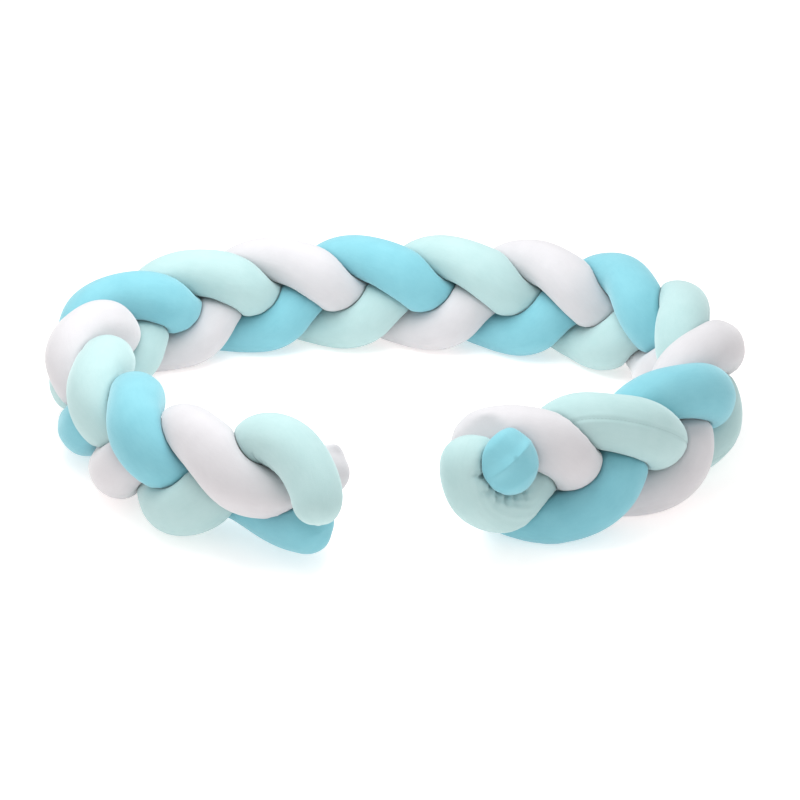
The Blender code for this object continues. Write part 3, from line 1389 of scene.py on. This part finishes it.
    def notches(self, rings: Rings, clear: Array) -> Array:
        """Notches and a crevice where the cloth bunches up against a neighbour.

        Args:
            rings: The cover.
            clear: How far its points are from the neighbours.

        Returns:
            Heights in metres, 0 or below.
        """
        grain = Grain(5 + list(Hue).index(self.hue))
        turn = rings.angles()[None]
        wander = 0.3 * grain.at(3.0 * np.cos(turn), 3.0 * np.sin(turn) + 20.0)
        height = np.zeros(rings.points.shape[:2])
        for bunch in BUNCHES[self.hue]:
            phase = (rings.places[:, None] - bunch.start) / bunch.step + wander
            number = np.floor(phase + 0.5)
            sharp = np.maximum(np.cos(math.pi * (phase - number)), 0.0) ** self.notch_sharp
            uneven = 0.65 + 0.35 * grain.at(number * 0.83, 0.0 * number + 9.0)
            near = 1 - eased(clear, 0.003, bunch.reach)
            parted = self.crevice * (1 - eased(clear, 0.0, 0.006))
            height -= self.inside(bunch, rings) * (self.notch * sharp * uneven * near + parted)
        return height

    def rings(self) -> Rings:
        """The finished cover as rings.

        Returns:
            The rings, at their final fineness.
        """
        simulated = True
        rings = self.plait.rings(self.hue, self.filling.slack if simulated else 0.0)
        if simulated:
            clear = self.plait.clearance(rings.points, self.hue)
            rings.points = self.filling.swollen(rings, clear)
            rings = self.plait.kept_apart(rings, self.hue)
        rings = rings.finer()
        clear = self.plait.clearance(rings.points, self.hue)
        lifted = eased(rings.points[..., 2], 0.0, 0.003)
        height = self.lumps(rings) + self.ripples(rings, clear) + self.closures(rings) + self.seam(rings)
        height = (height * eased(clear, 0.0, 0.004) + self.notches(rings, clear)) * lifted
        rings.points += rings.normals() * height[..., None]
        return self.plait.kept_apart(rings, self.hue)

    def build(self) -> tuple[bpy.types.Object, Rings]:
        """Makes the strand and ties it to the frame.

        Returns:
            The piece, and the rings that it was made from.
        """
        rings = self.rings()
        name = f"cover_{self.hue.value}"
        piece = placed(name, tube_mesh(name, rings))
        piece.data.materials.append(FINISHES[self.hue].material())
        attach(piece, "root")
        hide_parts(f"strand_{self.hue.value}")
        return piece, rings


@dataclass(frozen=True)
class Studio:
    """The pale floor, the soft light and the camera.

    Attributes:
        elevation: Of the camera, in degrees.
        azimuth: Of the camera, in degrees to the right of the loop's front.
        distance: From the middle of the plan's own frame.
        aim: What the camera looks at, in the plan's own frame.
        lens: Focal length, in millimetres.
        sensor: Width of the camera's sensor, in millimetres.
        floor_size: Length of the floor's sides.
        floor_drop: How far it lies under the part, so that the two don't flicker.
        floor_colour: Of the floor, in linear light.
        floor_rough: Its roughness.
        floor_glow: Light that it gives of itself.
        lamp_power: Of the lamp, in watts.
        lamp_size: Width of the lamp.
        lamp_spot: Where it hangs.
        world_strength: Of the even white room.
    """

    elevation: float = 28.118
    azimuth: float = 2.618
    distance: float = 2.6
    aim: tuple[float, float, float] = (0.0156, 0.1081, 0.0)
    lens: float = 84.87
    sensor: float = 36.0
    floor_size: float = 40.0
    floor_drop: float = 0.0002
    floor_colour: tuple[float, float, float] = (0.86, 0.80, 0.785)
    floor_rough: float = 0.9
    floor_glow: float = 0.45
    lamp_power: float = 12.0
    lamp_size: float = 1.1
    lamp_spot: tuple[float, float, float] = (-0.18, 0.06, 1.1)
    world_strength: float = 0.79

    def camera(self) -> bpy.types.Object:
        """Puts the camera where the photograph was taken from.

        Returns:
            The camera.
        """
        up, across = math.radians(self.elevation), math.radians(self.azimuth)
        spot = self.distance * Vector((
            math.sin(across) * math.cos(up), -math.cos(across) * math.cos(up), math.sin(up)))
        moved = Vector((*SIZES.centre, SIZES.sink))
        spot -= moved
        camera = placed("camera", bpy.data.cameras.new("camera"))
        camera.data.lens = self.lens
        camera.data.sensor_width = self.sensor
        camera.data.clip_end = 100.0
        camera.location = spot
        camera.rotation_euler = (Vector(self.aim) - moved - spot).to_track_quat("-Z", "Y").to_euler()
        bpy.context.scene.camera = camera
        return camera

    def floor(self) -> bpy.types.Object:
        """Lays the floor.

        Returns:
            The floor.
        """
        half, low = self.floor_size / 2, -self.floor_drop
        mesh = bpy.data.meshes.new("floor")
        mesh.from_pydata([(-half, -half, low), (half, -half, low), (half, half, low), (-half, half, low)],
                         [], [(0, 1, 2, 3)])
        floor = placed("floor", mesh)
        mesh.materials.append(Shader("pale_floor").dress({
            "Base Color": (*self.floor_colour, 1.0),
            "Roughness": self.floor_rough,
            "Specular IOR Level": 0.0,
            "Emission Color": (1.0, 1.0, 1.0, 1.0),
            "Emission Strength": self.floor_glow,
        }))
        return floor

    def lights(self) -> None:
        """Hangs one broad light over the loop in an even white room."""
        world = bpy.data.worlds.new("studio")
        world.use_nodes = True
        background = world.node_tree.nodes["Background"]
        background.inputs["Color"].default_value = (1.0, 1.0, 1.0, 1.0)
        background.inputs["Strength"].default_value = self.world_strength
        bpy.context.scene.world = world
        lamp = placed("soft_light", bpy.data.lights.new("soft_light", "AREA"))
        lamp.data.shape = "DISK"
        lamp.data.size = self.lamp_size
        lamp.data.energy = self.lamp_power
        lamp.location = self.lamp_spot
        bpy.context.scene.view_settings.view_transform = "Standard"

    def build(self) -> None:
        """Sets the whole stage."""
        self.camera()
        self.floor()
        self.lights()


@dataclass(frozen=True)
class Stitches:
    """Machine stitches along a seam, laid by a node tree.

    Attributes:
        pitch: From one stitch to the next.
        length: Of one stitch.
        thread: Its thickness.
        sunk: How deep the row lies in the seam.
    """

    pitch: float = 0.0048
    length: float = 0.0034
    thread: float = 0.0009
    sunk: float = 0.0001

    def tree(self) -> bpy.types.GeometryNodeTree:
        """Builds the node tree: stitches along an edge path.

        Returns:
            The tree, with its named inputs.
        """
        tree = bpy.data.node_groups.new("stitches_along_seam", "GeometryNodeTree")
        face = tree.interface
        face.new_socket("Geometry", in_out="INPUT", socket_type="NodeSocketGeometry")
        for name in ("Pitch", "Length", "Thread"):
            face.new_socket(name, in_out="INPUT", socket_type="NodeSocketFloat")
        face.new_socket("Material", in_out="INPUT", socket_type="NodeSocketMaterial")
        face.new_socket("Geometry", in_out="OUTPUT", socket_type="NodeSocketGeometry")

        def add(kind: str, settings: dict[str, Any] | None = None) -> bpy.types.Node:
            """A new node of this kind, with these settings."""
            made = tree.nodes.new(kind)
            for name, value in (settings or {}).items():
                setattr(made, name, value)
            return made

        given, result = add("NodeGroupInput"), add("NodeGroupOutput")
        path = add("GeometryNodeMeshToCurve")
        spaced = add("GeometryNodeResampleCurve", {"mode": "LENGTH"})
        tangent = add("GeometryNodeInputTangent")
        aligned = add("FunctionNodeAlignRotationToVector", {"axis": "Z"})
        bead = add("GeometryNodeMeshUVSphere")
        for label, value in (("Segments", 6), ("Rings", 4), ("Radius", 0.5)):
            bead.inputs[label].default_value = value
        size = add("ShaderNodeCombineXYZ")
        beads = add("GeometryNodeInstanceOnPoints")
        real = add("GeometryNodeRealizeInstances")
        dressed = add("GeometryNodeSetMaterial")
        wires = (
            (given, "Geometry", path, "Mesh"),
            (path, "Curve", spaced, "Curve"),
            (given, "Pitch", spaced, "Length"),
            (tangent, "Tangent", aligned, "Vector"),
            (given, "Thread", size, "X"),
            (given, "Thread", size, "Y"),
            (given, "Length", size, "Z"),
            (spaced, "Curve", beads, "Points"),
            (bead, "Mesh", beads, "Instance"),
            (aligned, "Rotation", beads, "Rotation"),
            (size, "Vector", beads, "Scale"),
            (beads, "Instances", real, "Geometry"),
            (real, "Geometry", dressed, "Geometry"),
            (given, "Material", dressed, "Material"),
            (dressed, "Geometry", result, "Geometry"),
        )
        for source, given_as, target, taken_as in wires:
            tree.links.new(source.outputs[given_as], target.inputs[taken_as])
        return tree

    def path(self, strand: Strand, rings: Rings) -> Array:
        """The seam's path on a cover.

        Args:
            strand: The strand.
            rings: Its finished rings.

        Returns:
            Points just in the cloth, from cap to cap.
        """
        sides = rings.points.shape[1]
        column = strand.seam_turns(rings.places) / (2 * math.pi) * sides
        low = np.floor(column).astype(int)
        share = (column - low)[:, None]
        ring = np.arange(len(column))
        skin = rings.points - rings.normals() * self.sunk
        path = skin[ring, low % sides] * (1 - share) + skin[ring, (low + 1) % sides] * share
        cap = 2 * strand.plait.cap_rings
        return path[cap:-cap]

    def build(self, strand: Strand, rings: Rings) -> bpy.types.Object:
        """Sews a strand's seam.

        Args:
            strand: The strand.
            rings: Its finished rings.

        Returns:
            The stitches as a plain mesh.
        """
        name = f"stitches_{strand.hue.value}"
        points = self.path(strand, rings)
        mesh = bpy.data.meshes.new("path")
        mesh.from_pydata([tuple(p) for p in points], [(i, i + 1) for i in range(len(points) - 1)], [])
        guide = placed("path", mesh)
        modifier = guide.modifiers.new("stitches", "NODES")
        modifier.node_group = self.tree()
        named = {item.name: item.identifier for item in modifier.node_group.interface.items_tree
                 if item.in_out == "INPUT"}
        thread = THREADS[strand.hue].material()
        for label, value in (("Pitch", self.pitch), ("Length", self.length), ("Thread", self.thread),
                             ("Material", thread)):
            modifier[named[label]] = value
        shown = guide.evaluated_get(bpy.context.evaluated_depsgraph_get())
        plain = bpy.data.meshes.new_from_object(shown)
        bpy.data.objects.remove(guide, do_unlink=True)
        plain.name = name
        piece = placed(name, plain)
        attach(piece, "root")
        return piece


def report(piece: bpy.types.Object) -> None:
    """Logs a piece's name, faces and size.

    Args:
        piece: The piece.
    """
    flat = np.empty(3 * len(piece.data.vertices), np.float32)
    piece.data.vertices.foreach_get("co", flat)
    span = np.ptp(flat.reshape(-1, 3), axis=0)
    LOG.info("%s: %d faces, %.3f x %.3f x %.3f m", piece.name, len(piece.data.polygons), *span)


def main() -> None:
    """Builds the stage, then each strand and its seam."""
    logging.basicConfig(level=logging.INFO, format="%(message)s")
    Studio().build()
    plait = Plait()
    for hue in Hue:
        strand = Strand(hue, plait)
        piece, rings = strand.build()
        report(piece)
        report(Stitches().build(strand, rings))


if __name__ == "__main__":
    main()
